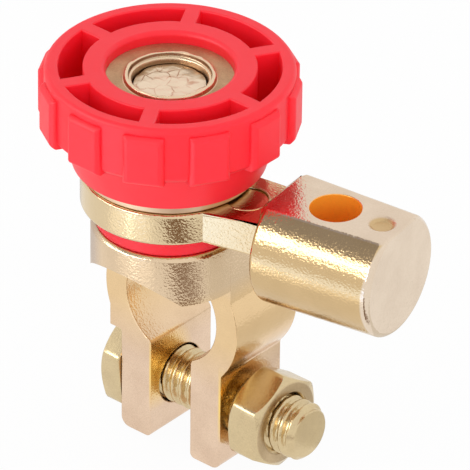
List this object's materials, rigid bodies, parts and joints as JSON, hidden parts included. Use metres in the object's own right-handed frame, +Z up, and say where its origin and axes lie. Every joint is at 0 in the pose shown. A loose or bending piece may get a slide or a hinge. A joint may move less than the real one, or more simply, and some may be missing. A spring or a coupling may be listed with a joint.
{
  "type": "battery terminal disconnect switch",
  "caption": "Battery terminal clamp with a red screw knob that presses a contact disc on a ring lug, which carries a replacement battery post.",
  "frame": {"origin": "centre of the clamp eye, at the middle of the clamp's depth", "axes": "+X along the clamp bolt from its head to its nut; +Y along the clamp eye, away from the side that the knob overhangs; +Z up the stud to the knob"},
  "size_m": [0.0519, 0.0334, 0.0585],
  "materials": {
    "cast_brass": "satin cast surface with fine grain",
    "turned_brass": "satin turned",
    "red_plastic": "semi-gloss moulded",
    "plated_steel": "yellow plated"
  },
  "bodies": {
    "clamp": {"clamp_body": "cast_brass", "switch_stud": "turned_brass", "insulator": "red_plastic"},
    "lug": {"post_lug": "cast_brass"},
    "contact": {"contact_disc": "turned_brass"},
    "knob": {"knob": "red_plastic", "knob_core": "turned_brass"},
    "bolt": {"clamp_bolt": "plated_steel"},
    "nut": {"clamp_nut": "plated_steel"}
  },
  "joints": [
    {"name": "lug_swing", "type": "hinge", "parent": "clamp", "child": "lug", "pos_m": [0, -0.0065, 0.019], "axis": [0, 0, 1], "continuous": true},
    {"name": "contact_lift", "type": "slide", "parent": "clamp", "child": "contact", "axis": [0, 0, 1], "range_m": [0, 0.00317]},
    {"name": "knob_turn", "type": "hinge", "parent": "contact", "child": "knob", "pos_m": [0, -0.0065, 0.03], "axis": [0, 0, 1], "range_deg": [0, 720]},
    {"name": "nut_travel", "type": "slide", "parent": "clamp", "child": "nut", "axis": [1, 0, 0], "range_m": [-0.00106, 0.00423]},
    {"name": "bolt_turn", "type": "hinge", "parent": "clamp", "child": "bolt", "pos_m": [0, 0, -0.0146], "axis": [-1, 0, 0], "range_deg": [-270, 1080]}
  ],
  "couplings": [
    {"joint": "knob_turn", "follows": "contact_lift", "rad_per_m": 3957.9},
    {"joint": "bolt_turn", "follows": "nut_travel", "rad_per_m": 4452.7}
  ]
}
